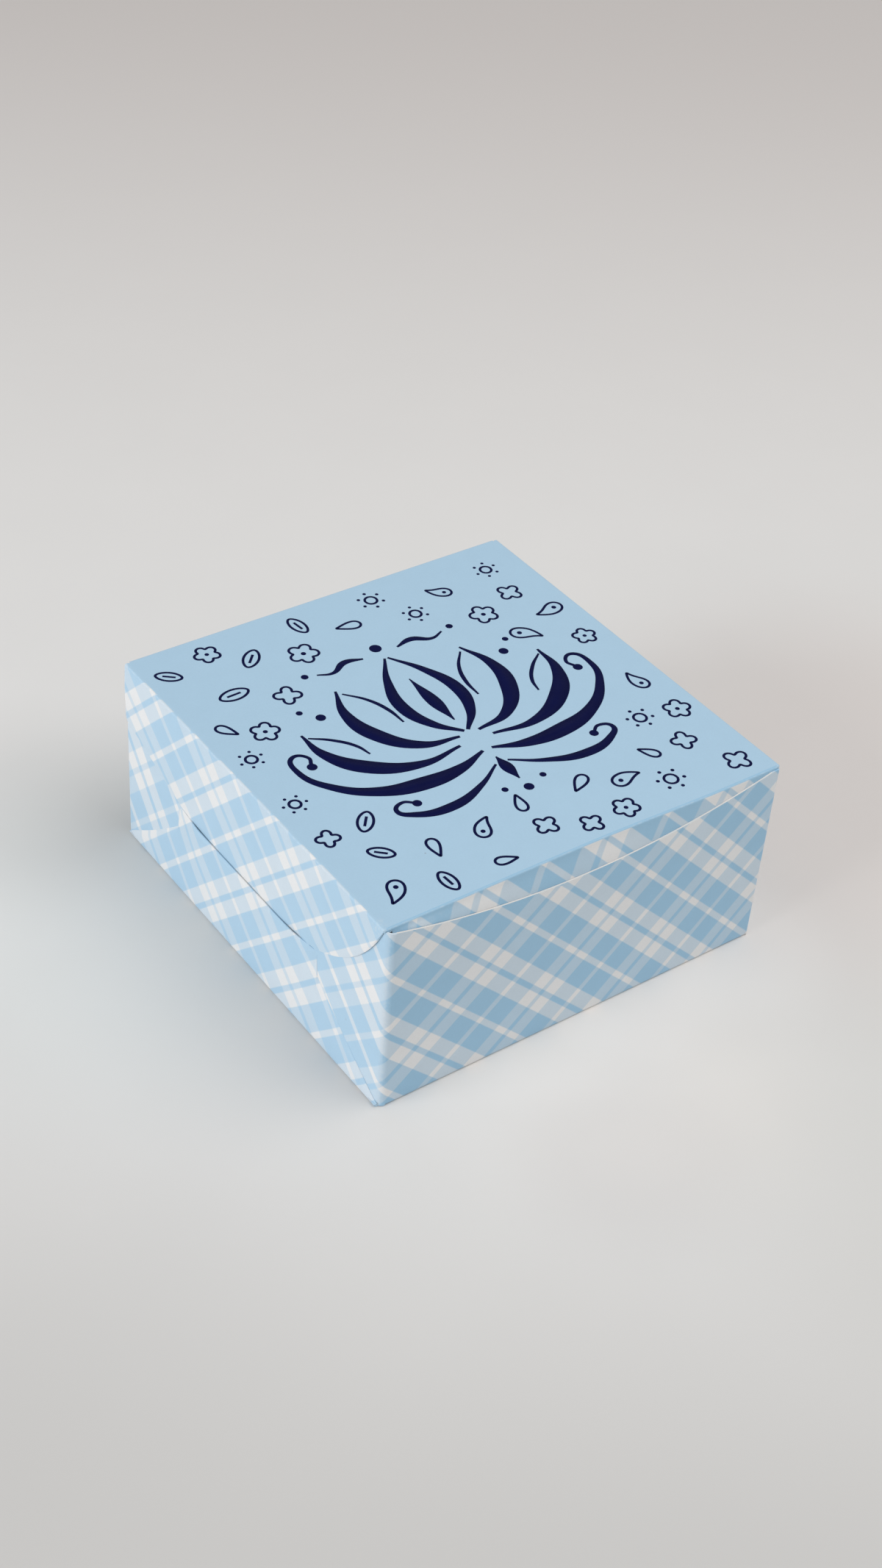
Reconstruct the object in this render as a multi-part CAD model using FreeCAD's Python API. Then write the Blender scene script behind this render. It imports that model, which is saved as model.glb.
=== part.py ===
import FreeCAD, Part
import math
import os

# Sweet box of folded paperboard, cut as one blank and glued at its four corners.
# X runs across the front from left to right, Y from front to back, Z up.
# The origin is the middle of the underside.

# Driving dimensions, in millimetres and degrees
board = 0.5
carton_width = 105.5
carton_depth = 108.0
carton_height = 50.5

# Creases: the inside radius of a fixed fold, and the strip and running gap of a fold that moves
bend_radius = 0.3
crease_strip = 0.6
crease_gap = 0.1

# Front wall: its top edge is an arc, and its ends stand a step below the lid's top
front_wall_step = 0.6
front_wall_dip = 6.5

# Corner flaps: they run back from the ends of the front and back walls, inside the side panels
corner_flap_length = 34.0
corner_flap_lift = 1.0
corner_flap_chamfer = 4.0
lid_seat_gap = 0.2

# Side panels: they lean out from the base, and their top edge is the lip of the lock slit
slit_drop = 25.0
slit_inset = 25.0
neck_height = 6.5
glue_film = 0.1
glue_margin = 2.0
glue_start_share = 0.6
glue_height_share = 0.75

# Lock flaps: they hang from the lid's sides, with a tongue that slides into the slit
flap_gap = 0.25
pocket_gap = 0.45
flap_end_gap = 0.2
flap_rear_height = 16.3
flap_front_sagitta = 3.4
tongue_end_gap = 1.0
tongue_rear_depth = 1.5
tongue_front_depth = 4.0
tongue_slope_shares = (0.06, 0.90)

# Tuck flap: it hangs from the lid's front edge, inside the front wall
tuck_gap = 0.3
tuck_side_gap = 1.0
tuck_depth = 16.0
tuck_corner_radius = 9.0
tuck_tilt = 5.0

# Sizes worked out from the ones above
half_board = board / 2
outer_radius = bend_radius + board
half_width = carton_width / 2
half_depth = carton_depth / 2
wall_half_width = half_width - outer_radius
base_half_depth = half_depth - outer_radius

# Axes of the folds that move
fold_height = carton_height - half_board
hinge_y = half_depth - half_board
tuck_y = -(half_depth - board - tuck_gap - half_board)
lock_x = half_width + flap_gap + half_board
fold_reach = half_board + crease_gap

# Lid outline inside its creases
lid_half_width = lock_x - crease_strip
lid_front_y = tuck_y + crease_strip
lid_rear_y = hinge_y - fold_reach

# Side panel: its fold's centre, and the lean that opens the slit for the lock flap
slit_height = carton_height - slit_drop
slit_half_length = half_depth - slit_inset
panel_fold_x = half_width + glue_film - bend_radius
panel_fold_z = outer_radius
slit_dx = half_width + flap_gap + board + pocket_gap - panel_fold_x
slit_dz = slit_height - panel_fold_z
lean = math.acos(bend_radius / math.hypot(slit_dx, slit_dz)) - math.atan2(slit_dz, slit_dx)


def in_xy(z):
    return lambda x, y: FreeCAD.Vector(x, y, z)


def in_xz(y):
    return lambda x, z: FreeCAD.Vector(x, y, z)


def in_yz(x):
    return lambda y, z: FreeCAD.Vector(x, y, z)


def along(axis, length):
    return FreeCAD.Vector(*[length if name == axis else 0 for name in "xyz"])


def solid_of(plane, start, steps, sweep):
    # A step is an end point, or a point passed through and an end point for an arc
    edges = []
    here = plane(*start)
    for step in steps:
        there = plane(*step[-1])
        if len(step) == 1:
            edges.append(Part.LineSegment(here, there).toShape())
        else:
            edges.append(Part.Arc(here, plane(*step[0]), there).toShape())
        here = there
    return Part.Face(Part.Wire(edges)).extrude(sweep)


def slab(plane, points, sweep):
    return solid_of(plane, points[0], [(point,) for point in points[1:] + points[:1]], sweep)


def polar(centre, radius, angle):
    turn = math.radians(angle)
    return (centre[0] + radius * math.cos(turn), centre[1] + radius * math.sin(turn))


def fixed_fold(plane, centre, first, last, sweep):
    # A strip of board bent round a centre, from one angle to another
    middle = (first + last) / 2
    outer = [polar(centre, outer_radius, angle) for angle in (first, middle, last)]
    inner = [polar(centre, bend_radius, angle) for angle in (last, middle, first)]
    steps = [(outer[1], outer[2]), (inner[0],), (inner[1], inner[2]), (outer[0],)]
    return solid_of(plane, outer[0], steps, sweep)


def moving_fold(plane, axis, away, sweep):
    # A strip of board with a round end on the fold's axis; away is the unit step back to its panel
    side = (-away[1], away[0])
    back = (axis[0] + away[0] * crease_strip, axis[1] + away[1] * crease_strip)
    nose = (axis[0] - away[0] * half_board, axis[1] - away[1] * half_board)
    root = [(back[0] + side[0] * s, back[1] + side[1] * s) for s in (-half_board, half_board)]
    rim = [(axis[0] + side[0] * s, axis[1] + side[1] * s) for s in (half_board, -half_board)]
    return solid_of(plane, root[0], [(root[1],), (rim[0],), (nose, rim[1]), (root[0],)], sweep)


def mirrored_x(shape):
    return shape.mirror(FreeCAD.Vector(0, 0, 0), FreeCAD.Vector(1, 0, 0))


def mirrored_y(shape):
    return shape.mirror(FreeCAD.Vector(0, 0, 0), FreeCAD.Vector(0, 1, 0))


def make_base():
    corner = (panel_fold_x, base_half_depth)
    points = [(-corner[0], -corner[1]), (corner[0], -corner[1]), corner, (-corner[0], corner[1])]
    return slab(in_xy(0), points, along("z", board))


def make_base_fold_back():
    plane = in_yz(-wall_half_width)
    return fixed_fold(plane, (base_half_depth, outer_radius), -90, 0, along("x", 2 * wall_half_width))


def make_base_fold_right():
    plane = in_xz(-base_half_depth)
    last = -math.degrees(lean)
    return fixed_fold(plane, (panel_fold_x, panel_fold_z), -90, last, along("y", 2 * base_half_depth))


def make_front_wall():
    end_z = carton_height - front_wall_step
    start = (-wall_half_width, outer_radius)
    steps = [
        ((wall_half_width, outer_radius),),
        ((wall_half_width, end_z),),
        ((0, end_z - front_wall_dip), (-wall_half_width, end_z)),
        (start,),
    ]
    return solid_of(in_xz(-half_depth), start, steps, along("y", board))


def make_back_wall():
    top_z = fold_height - crease_strip
    points = [
        (-wall_half_width, outer_radius),
        (wall_half_width, outer_radius),
        (wall_half_width, top_z),
        (-wall_half_width, top_z),
    ]
    return slab(in_xz(half_depth - board), points, along("y", board))


def make_corner_fold_back_right():
    height = carton_height - board - lid_seat_gap - corner_flap_lift
    centre = (wall_half_width, base_half_depth)
    return fixed_fold(in_xy(corner_flap_lift), centre, 0, 90, along("z", height))


def make_corner_flap_back_right():
    low = corner_flap_lift
    high = carton_height - board - lid_seat_gap
    end_y = half_depth - corner_flap_length
    points = [
        (base_half_depth, low),
        (base_half_depth, high),
        (end_y + corner_flap_chamfer, high),
        (end_y, high - corner_flap_chamfer),
        (end_y, low + corner_flap_chamfer),
        (end_y + corner_flap_chamfer, low),
    ]
    return slab(in_yz(half_width - board), points, along("x", board))


def panel_inner_x(z):
    return panel_fold_x + (bend_radius + (z - panel_fold_z) * math.sin(lean)) / math.cos(lean)


def panel_shoulder():
    # Height above the fold of the neck's foot, and of the slit's lip, along the leaning panel
    lip = (slit_dz + bend_radius * math.sin(lean)) / math.cos(lean)
    return lip - neck_height, lip


def make_side_panel_right():
    neck, lip = panel_shoulder()
    points = [
        (-base_half_depth, panel_fold_z),
        (base_half_depth, panel_fold_z),
        (slit_half_length, panel_fold_z + neck),
        (slit_half_length, panel_fold_z + lip),
        (-slit_half_length, panel_fold_z + lip),
        (-slit_half_length, panel_fold_z + neck),
    ]
    upright = slab(in_yz(panel_fold_x + bend_radius), points, along("x", board))
    fold = FreeCAD.Vector(panel_fold_x, 0, panel_fold_z)
    upright.rotate(fold, FreeCAD.Vector(0, 1, 0), math.degrees(lean))
    return upright


def make_glue_pad_back_right():
    # A wedge of glue between the corner flap and the leaning panel, under the panel's slanted edge
    start_run = slit_inset * glue_start_share
    end_run = corner_flap_length - corner_flap_chamfer - glue_margin
    low = outer_radius + glue_margin
    high = low + (panel_shoulder()[0] * glue_start_share - glue_margin) * glue_height_share
    points = [(half_width, low), (panel_inner_x(low), low), (panel_inner_x(high), high), (half_width, high)]
    return slab(in_xz(half_depth - end_run), points, along("y", end_run - start_run))


def make_lid():
    points = [
        (-lid_half_width, lid_front_y),
        (lid_half_width, lid_front_y),
        (lid_half_width, lid_rear_y),
        (-lid_half_width, lid_rear_y),
    ]
    return slab(in_xy(carton_height - board), points, along("z", board))


def make_hinge_fold():
    plane = in_yz(-wall_half_width)
    return moving_fold(plane, (hinge_y, fold_height), (0, -1), along("x", 2 * wall_half_width))


def make_tuck_fold():
    half_length = half_width - board - tuck_side_gap
    return moving_fold(in_yz(-half_length), (tuck_y, fold_height), (1, 0), along("x", 2 * half_length))


def make_lock_fold_right():
    length = lid_rear_y - lid_front_y
    return moving_fold(in_xz(lid_front_y), (lock_x, fold_height), (-1, 0), along("y", length))


def make_tuck_flap():
    half_length = half_width - board - tuck_side_gap
    top = fold_height - fold_reach
    low = carton_height - tuck_depth
    corner = half_length - tuck_corner_radius
    rounded = tuck_corner_radius * math.cos(math.radians(45))
    start = (-half_length, top)
    steps = [
        ((half_length, top),),
        ((half_length, low + tuck_corner_radius),),
        ((corner + rounded, low + tuck_corner_radius - rounded), (corner, low)),
        ((-corner, low),),
        ((-corner - rounded, low + tuck_corner_radius - rounded), (-half_length, low + tuck_corner_radius)),
        (start,),
    ]
    upright = solid_of(in_xz(tuck_y - half_board), start, steps, along("y", board))
    upright.rotate(FreeCAD.Vector(0, tuck_y, fold_height), FreeCAD.Vector(1, 0, 0), tuck_tilt)
    return upright


def make_lock_flap_right():
    top = fold_height - fold_reach
    front = lid_front_y + flap_end_gap
    rear = lid_rear_y - flap_end_gap
    tongue_front = -slit_half_length + tongue_end_gap
    tongue_rear = slit_half_length - tongue_end_gap
    tongue_length = tongue_rear - tongue_front
    slope_front = tongue_rear - tongue_length * tongue_slope_shares[1]
    slope_rear = tongue_rear - tongue_length * tongue_slope_shares[0]
    chord = (tongue_front - front, slit_height - top)
    chord_length = math.hypot(*chord)
    belly = (
        (front + tongue_front) / 2 + flap_front_sagitta * chord[1] / chord_length,
        (top + slit_height) / 2 - flap_front_sagitta * chord[0] / chord_length,
    )
    start = (front, top)
    steps = [
        ((rear, top),),
        ((rear, carton_height - flap_rear_height),),
        ((tongue_rear, slit_height),),
        ((slope_rear, slit_height - tongue_rear_depth),),
        ((slope_front, slit_height - tongue_front_depth),),
        ((tongue_front, slit_height),),
        (belly, start),
    ]
    return solid_of(in_yz(lock_x - half_board), start, steps, along("x", board))


back_right = {
    "corner_crease": make_corner_fold_back_right(),
    "corner_flap": make_corner_flap_back_right(),
    "glue_pad": make_glue_pad_back_right(),
}
right = {
    "base_{}_crease": make_base_fold_right(),
    "{}_side_panel": make_side_panel_right(),
    "lid_{}_crease": make_lock_fold_right(),
    "{}_lock_flap": make_lock_flap_right(),
}
nodes = {
    "base_panel": make_base(),
    "base_back_crease": make_base_fold_back(),
    "base_front_crease": mirrored_y(make_base_fold_back()),
    "front_wall": make_front_wall(),
    "back_wall": make_back_wall(),
    "lid_hinge_crease": make_hinge_fold(),
    "lid_panel": make_lid(),
    "lid_front_crease": make_tuck_fold(),
    "tuck_flap": make_tuck_flap(),
}
for pattern, shape in right.items():
    nodes[pattern.format("right")] = shape
    nodes[pattern.format("left")] = mirrored_x(shape)
for name, shape in back_right.items():
    nodes["back_right_" + name] = shape
    nodes["back_left_" + name] = mirrored_x(shape)
    nodes["front_right_" + name] = mirrored_y(shape)
    nodes["front_left_" + name] = mirrored_x(mirrored_y(shape))

os.makedirs("parts", exist_ok=True)
for name, shape in nodes.items():
    shape.exportStep(os.path.join("parts", name + ".step"))
    print(name, round(shape.Volume, 2), shape.isValid(), shape.ShapeType)
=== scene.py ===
import math

import bmesh
import bpy
from mathutils import Matrix, Vector


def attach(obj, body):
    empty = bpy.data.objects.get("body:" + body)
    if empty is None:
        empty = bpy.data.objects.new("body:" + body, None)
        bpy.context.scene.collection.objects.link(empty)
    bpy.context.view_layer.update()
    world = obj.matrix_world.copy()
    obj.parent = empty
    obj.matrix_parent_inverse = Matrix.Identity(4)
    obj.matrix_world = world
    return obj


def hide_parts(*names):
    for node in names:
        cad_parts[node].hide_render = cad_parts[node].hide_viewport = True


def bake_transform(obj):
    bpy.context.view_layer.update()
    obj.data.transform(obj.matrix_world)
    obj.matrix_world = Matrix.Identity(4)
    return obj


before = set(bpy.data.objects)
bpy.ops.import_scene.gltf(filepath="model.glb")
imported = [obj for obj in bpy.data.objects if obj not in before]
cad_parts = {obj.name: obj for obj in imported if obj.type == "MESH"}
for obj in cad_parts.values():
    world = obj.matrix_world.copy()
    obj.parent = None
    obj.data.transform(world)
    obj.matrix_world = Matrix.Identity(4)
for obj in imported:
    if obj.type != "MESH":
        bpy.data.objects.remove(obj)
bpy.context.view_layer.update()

mm = 0.001

# Sizes shared by the boards, in millimetres; the lid is a little lower than the ink that lies on it
box = {
    "board": 0.5, "halfWidth": 52.75, "halfDepth": 54.0, "middleHeight": 25.0, "lidTop": 50.48,
    "inkTop": 50.5, "baseRound": 0.8, "cornerRound": 0.6, "nearRound": 1.9, "foldRound": 0.7,
    "flapRound": 0.45, "roundSteps": 7, "stripe": 33.1, "touch": 0.001, "near": 0.02,
    "wornSlope": 0.29, "smoothAngle": 35,
}

print("helpers")


def clearSelection():
    if bpy.context.object and bpy.context.object.mode != "OBJECT":
        bpy.ops.object.mode_set(mode="OBJECT")
    bpy.ops.object.select_all(action="DESELECT")


def selectOnly(first, *others):
    clearSelection()
    bpy.context.view_layer.objects.active = first
    for piece in (first, *others):
        piece.select_set(True)


def startSheet(name, low, high, height, columns, rows, faceDown=False):
    clearSelection()
    middle = [(a + b) / 2 * mm for a, b in zip(low, high)] + [height * mm]
    turn = (math.pi if faceDown else 0, 0, 0)
    bpy.ops.mesh.primitive_grid_add(
        x_subdivisions=columns, y_subdivisions=rows, size=1, location=middle, rotation=turn
    )
    sheet = bpy.context.object
    sheet.name = sheet.data.name = name
    sheet.scale = ((high[0] - low[0]) * mm, (high[1] - low[1]) * mm, 1)
    bpy.ops.object.transform_apply()
    return sheet


# Slides the even columns of a sheet to the places that its outline needs
def slideColumns(sheet, axis, places):
    found = sorted({round(v.co[axis] / mm, 3) for v in sheet.data.vertices})
    where = dict(zip(found, places))
    for v in sheet.data.vertices:
        v.co[axis] = where[round(v.co[axis] / mm, 3)] * mm


def editSheet(sheet):
    selectOnly(sheet)
    bpy.ops.object.mode_set(mode="EDIT")
    bpy.ops.mesh.select_mode(type="VERT")
    bpy.ops.mesh.select_all(action="SELECT")


def pickVerts(sheet, test):
    bpy.ops.mesh.select_all(action="DESELECT")
    mesh = bmesh.from_edit_mesh(sheet.data)
    for v in mesh.verts:
        v.select = bool(test(v.co / mm))
    mesh.select_flush(True)
    bmesh.update_edit_mesh(sheet.data)


# A positive angle turns by the right-hand rule, which is the other way round for the operator
def rollEdge(degrees, centre, axis):
    bpy.ops.mesh.spin(
        steps=box["roundSteps"], angle=-math.radians(degrees), center=[c * mm for c in centre], axis=axis
    )


# A strip from a panel's edge to its fold, across x (0) or y (1), rolled over at the fold; its columns lie at
# the given places
def startFold(name, across, edge, fold, places, height, degrees, centreHeight):
    low, high = sorted((edge, fold))
    corners, cells = [(low, places[0]), (high, places[-1])], [1, len(places) - 1]
    centre = [fold, 0, centreHeight]
    if across:
        corners, cells, centre = [corner[::-1] for corner in corners], cells[::-1], [0, fold, centreHeight]
    sheet = startSheet(name, *corners, height, *cells, height == 0)
    slideColumns(sheet, 1 - across, places)
    editSheet(sheet)
    pickVerts(sheet, lambda co: near(co[across], fold))
    rollEdge(degrees, centre, (across, 1 - across, 0))
    return sheet


def pullEdge(move):
    bpy.ops.mesh.extrude_region_move(TRANSFORM_OT_translate={"value": [m * mm for m in move]})


def movePicked(sheet, place, every=False):
    mesh = bmesh.from_edit_mesh(sheet.data)
    for v in mesh.verts:
        if v.select or every:
            v.co = Vector(place(v.co / mm)) * mm
    bmesh.update_edit_mesh(sheet.data)


# Draws the picked edge out in rows; place(vertex, share) says where each vertex of a row goes
def pullRows(sheet, shares, place):
    for share in shares:
        pullEdge((0, 0, 0))
        movePicked(sheet, lambda co: place(co, share))


def near(a, b):
    return abs(a - b) < box["near"]


def spread(low, high, count):
    return [low + (high - low) * k / count for k in range(count + 1)]


def smooth(value):
    value = max(0, min(1, value))
    return value * value * (3 - 2 * value)


# Outer faces look away from the middle of the box
def faceOutwards(sheet):
    clearSelection()
    middle = Vector((0, 0, box["middleHeight"])) * mm
    mesh = bmesh.new()
    mesh.from_mesh(sheet.data)
    bmesh.ops.remove_doubles(mesh, verts=mesh.verts, dist=box["touch"] * mm)
    mesh.normal_update()
    turned = [f for f in mesh.faces if f.normal.dot(f.calc_center_median() - middle) < 0]
    bmesh.ops.reverse_faces(mesh, faces=turned)
    mesh.to_mesh(sheet.data)
    mesh.free()


# Turns the outer faces outwards, then lays the plaid's phases into a UV map, and the edge of the lid's plain
# blue, the share of painted shade (a deeper blue on shaded faces) and the wear of the folds into attributes
def layPrint(sheet, phases, blueEdge=lambda co: -1, paintedShadeShare=lambda co: 0):
    faceOutwards(sheet)
    data = sheet.data
    while data.uv_layers:
        data.uv_layers.remove(data.uv_layers[0])
    plaid = data.uv_layers.new(name="plaidPhase")
    for loop in data.loops:
        plaid.data[loop.index].uv = phases(data.vertices[loop.vertex_index].co / mm)
    blue = data.attributes.new("lidBlue", "FLOAT", "POINT")
    wear = data.attributes.new("foldWear", "FLOAT", "POINT")
    shadeShare = data.attributes.new("paintedShadeShare", "FLOAT", "POINT")
    for v in data.vertices:
        blue.data[v.index].value = blueEdge(v.co / mm)
        shadeShare.data[v.index].value = paintedShadeShare(v.co / mm)
        steep = max(abs(c) for c in v.normal)
        wear.data[v.index].value = min(1, max(0, (1 - steep) / box["wornSlope"]))


# Gives the sheet its thickness; rolled(place, place on the sheet, printed side) shapes the rims after that
def addBoard(sheet, printedRim=None, rolled=None):
    selectOnly(sheet)
    before = [v.co / mm for v in sheet.data.vertices]
    for material in (printFinish, linerFinish, edgeFinish):
        sheet.data.materials.append(material)
    thicken = sheet.modifiers.new("board", "SOLIDIFY")
    thicken.thickness = box["board"] * mm
    thicken.offset = -1
    thicken.use_even_offset = True
    thicken.material_offset = 1
    thicken.material_offset_rim = 2
    bpy.ops.object.modifier_apply(modifier=thicken.name)
    for face in sheet.data.polygons:
        if printedRim and face.material_index == 2 and printedRim(face.center / mm):
            face.material_index = 0
    for v in sheet.data.vertices if rolled else []:
        v.co = Vector(rolled(v.co / mm, before[v.index % len(before)], v.index < len(before))) * mm
    bpy.ops.object.shade_smooth_by_angle(angle=math.radians(box["smoothAngle"]))


# Phase of stripes that spread a little: its start, its gain along both ways and how both gains fade
def fan(numbers, a, b):
    start, alongA, alongB, fadeA, fadeB = numbers
    return (start + alongA * a + alongB * b) / (1 + fadeA * a + fadeB * b)


# Phases of the strong and the weak stripes at a place on a board; the strong ones don't spread
def plaidAt(strong, weak, a, b):
    return ((strong[0] + strong[1] * a + strong[2] * b) / box["stripe"], fan(weak, a, b))


print("finishes")


def feed(tree, socket, value):
    if isinstance(value, bpy.types.NodeSocket):
        tree.links.new(value, socket)
    else:
        socket.default_value = value


# Values go to a node's sockets in order, or by name or number
def feedAll(tree, node, values):
    for socket, value in values.items() if isinstance(values, dict) else enumerate(values):
        feed(tree, node.inputs[socket], value)


def addNode(tree, kind, values=(), **settings):
    node = tree.nodes.new("ShaderNode" + kind)
    for name, setting in settings.items():
        setattr(node, name, setting)
    feedAll(tree, node, values)
    return node.outputs


def mathStep(tree, operation, *values):
    return addNode(tree, "Math", values, operation=operation)[0]


# Takes a value, its start and end, and the results there if they aren't 0 and 1
def rampStep(tree, *values):
    return addNode(tree, "MapRange", values, interpolation_type="SMOOTHSTEP")[0]


# The node's sockets for colours are 6 and 7, and its output for them is 2
def mixColours(tree, share, first, second, blend="MIX"):
    colours = {0: share, 6: first, 7: second}
    return addNode(tree, "Mix", colours, data_type="RGBA", blend_type=blend)[2]


def noiseStep(tree, *values):
    return addNode(tree, "TexNoise", dict(zip(("Vector", "Scale", "Detail", "Roughness"), values)))["Fac"]


def attributeStep(tree, name):
    return addNode(tree, "Attribute", attribute_name=name)["Fac"]


def vectorStep(tree, operation, *values):
    return addNode(tree, "VectorMath", values, operation=operation)["Value"]


def useGroup(tree, group, **values):
    return addNode(tree, "Group", values, node_tree=group)


def newGroup(name, inputs, outputs):
    tree = bpy.data.node_groups.new(name, "ShaderNodeTree")
    for side, sockets in (("INPUT", inputs), ("OUTPUT", outputs)):
        for label, kind in sockets:
            tree.interface.new_socket(label, in_out=side, socket_type="NodeSocket" + kind)
    return tree, tree.nodes.new("NodeGroupInput").outputs, tree.nodes.new("NodeGroupOutput").inputs


# Half widths of the bands as shares of one repeat
plaidBands = {"soft": 0.0075, "line": 0.030, "band": 0.195, "thin": 0.467}


# One set of plaid bands: blue line, tint band, blue ground and thin tint line, mirrored about the line
def makeBands():
    tree, given, made = newGroup("plaidBands", [("Phase", "Float")], [("Band", "Float")])
    soft, line, band, thin = plaidBands.values()
    wave = mathStep(tree, "PINGPONG", given["Phase"], 0.5)
    inner = rampStep(tree, wave, line - soft, line + soft)
    outer = rampStep(tree, wave, band - soft, band + soft, 1.0, 0.0)
    thread = rampStep(tree, wave, thin - soft, thin + soft)
    feed(tree, made["Band"], mathStep(tree, "MULTIPLY_ADD", inner, outer, thread))
    return tree


# The fibre's sockets; each noise has a scale, a detail and a roughness
fibreNumbers = [
    "CloudScale", "CloudDetail", "CloudRoughness", "FibreScale", "FibreDetail", "FibreRoughness",
    "Smooth", "Rough",
]
noiseSpan = (0.2, 0.8)


# Clouds and fine fibre of a surface, and its roughness, which follows the fibre
def makeFibre():
    tree, given, made = newGroup(
        "surfaceFibre",
        [("Place", "Vector"), ("Along", "Vector")] + [(label, "Float") for label in fibreNumbers],
        [("Cloud", "Float"), ("Fibre", "Float"), ("Roughness", "Float")],
    )
    numbers = [given[label] for label in fibreNumbers]
    cloud = noiseStep(tree, given["Place"], *numbers[:3])
    fibre = noiseStep(tree, given["Along"], *numbers[3:6])
    roughness = rampStep(tree, fibre, *noiseSpan, *numbers[6:])
    for label, value in (("Cloud", cloud), ("Fibre", fibre), ("Roughness", roughness)):
        feed(tree, made[label], value)
    return tree


bandGroup = makeBands()
fibreGroup = makeFibre()


def useFibre(tree, place, look):
    along = place
    if "stretch" in look:
        along = addNode(tree, "Mapping", {"Vector": place, "Scale": look["stretch"]})[0]
    numbers = dict(zip(fibreNumbers, look["cloud"] + look["fibre"] + look["roughness"]))
    return useGroup(tree, fibreGroup, Place=place, Along=along, **numbers)


def newFinish(name):
    finish = bpy.data.materials.new(name)
    finish.use_nodes = True
    tree = finish.node_tree
    shader = next(n for n in tree.nodes if n.type == "BSDF_PRINCIPLED")
    return finish, tree, shader, addNode(tree, "TexCoord")["Object"]


def setShader(tree, shader, colour, fibre, look):
    strength, distance = look["bump"]
    heights = {"Strength": strength, "Distance": distance * mm, "Height": fibre["Fibre"]}
    feedAll(tree, shader, {
        "Base Color": colour, "Roughness": fibre["Roughness"], "Specular IOR Level": look["specular"],
        "Normal": addNode(tree, "Bump", heights)[0],
    })


# The deeper of the two blues is painted shade, a darker copy of the pale blue for the faces that lie in shade
printLook = {
    "paleBlue": (0.425, 0.612, 0.770, 1), "paintedShadeBlue": (0.332, 0.552, 0.738, 1),
    "white": (0.785, 0.793, 0.798, 1), "worn": (0.74, 0.775, 0.80, 1), "strong": 0.545,
    "weak": 0.325, "both": 0.13, "blueSoft": 0.1, "rub": (900.0, 3.0, 0.6), "rubRange": (0.42, 0.72),
    "foldRub": 0.32, "leastRub": 0.03, "rubbedCorner": (-0.0530, -0.0503, 0.0492),
    "rubbedReach": 0.0030, "rubbedShare": 0.55, "fleck": (0.20, 0.19, 0.20, 1), "fleckShare": 0.8,
    "fleckScale": 95.0, "fleckFrom": 0.70, "fleckSize": 0.024, "cloud": (210.0, 3.0, 0.55),
    "fibre": (2600.0, 2.0, 0.6), "cloudTone": 0.045, "fibreTone": 0.075, "leastTone": 0.94,
    "roughness": (0.42, 0.54), "specular": 0.28, "bump": (0.25, 0.02),
}


# Rare dark flecks, each with a size and a strength of its own
def fleckStep(tree, place):
    cell = addNode(tree, "TexVoronoi", {"Vector": place, "Scale": printLook["fleckScale"]})
    chance, shade = addNode(tree, "SeparateColor", [cell["Color"]])[:2]
    size = rampStep(tree, chance, printLook["fleckFrom"], 1.0, 0.0, printLook["fleckSize"])
    spot = mathStep(tree, "LESS_THAN", cell["Distance"], size)
    return mathStep(tree, "MULTIPLY", mathStep(tree, "MULTIPLY", spot, shade), printLook["fleckShare"])


def makePrint():
    finish, tree, shader, place = newFinish("printed_board")
    phases = addNode(tree, "SeparateXYZ", [addNode(tree, "UVMap", uv_map="plaidPhase")[0]])
    strong, weak = (useGroup(tree, bandGroup, Phase=phases[k])["Band"] for k in (0, 1))
    both = mathStep(tree, "MULTIPLY", strong, weak)
    white = mathStep(tree, "MULTIPLY", strong, printLook["strong"])
    white = mathStep(tree, "MULTIPLY_ADD", weak, printLook["weak"], white)
    white = mathStep(tree, "MULTIPLY_ADD", both, printLook["both"], white)
    soft = printLook["blueSoft"]
    plain = rampStep(tree, attributeStep(tree, "lidBlue"), -soft, soft, 1.0, 0.0)
    white = mathStep(tree, "MULTIPLY", white, plain)
    # Painted shade: the blue ground turns to the deeper blue where this attribute is 1, on the shaded front
    # wall and tuck flap, and a little on the lid
    ground = mixColours(tree, attributeStep(tree, "paintedShadeShare"), printLook["paleBlue"], printLook["paintedShadeBlue"])
    colour = mixColours(tree, white, ground, printLook["white"])
    rub = rampStep(tree, noiseStep(tree, place, *printLook["rub"]), *printLook["rubRange"])
    rubbed = mathStep(tree, "MULTIPLY_ADD", rub, printLook["foldRub"], printLook["leastRub"])
    rubbed = mathStep(tree, "MULTIPLY", rubbed, attributeStep(tree, "foldWear"))
    gap = vectorStep(tree, "DISTANCE", place, printLook["rubbedCorner"])
    close = rampStep(tree, gap, 0.0, printLook["rubbedReach"], printLook["rubbedShare"], 0.0)
    rubbed = mathStep(tree, "MAXIMUM", rubbed, mathStep(tree, "MULTIPLY", close, rub))
    colour = mixColours(tree, rubbed, colour, printLook["worn"])
    colour = mixColours(tree, fleckStep(tree, place), colour, printLook["fleck"])
    fibre = useFibre(tree, place, printLook)
    tone = mathStep(tree, "MULTIPLY_ADD", fibre["Cloud"], printLook["cloudTone"], printLook["leastTone"])
    tone = mathStep(tree, "MULTIPLY_ADD", fibre["Fibre"], printLook["fibreTone"], tone)
    colour = mixColours(tree, 1.0, colour, addNode(tree, "CombineColor", [tone] * 3)[0], "MULTIPLY")
    setShader(tree, shader, colour, fibre, printLook)
    return finish


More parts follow.
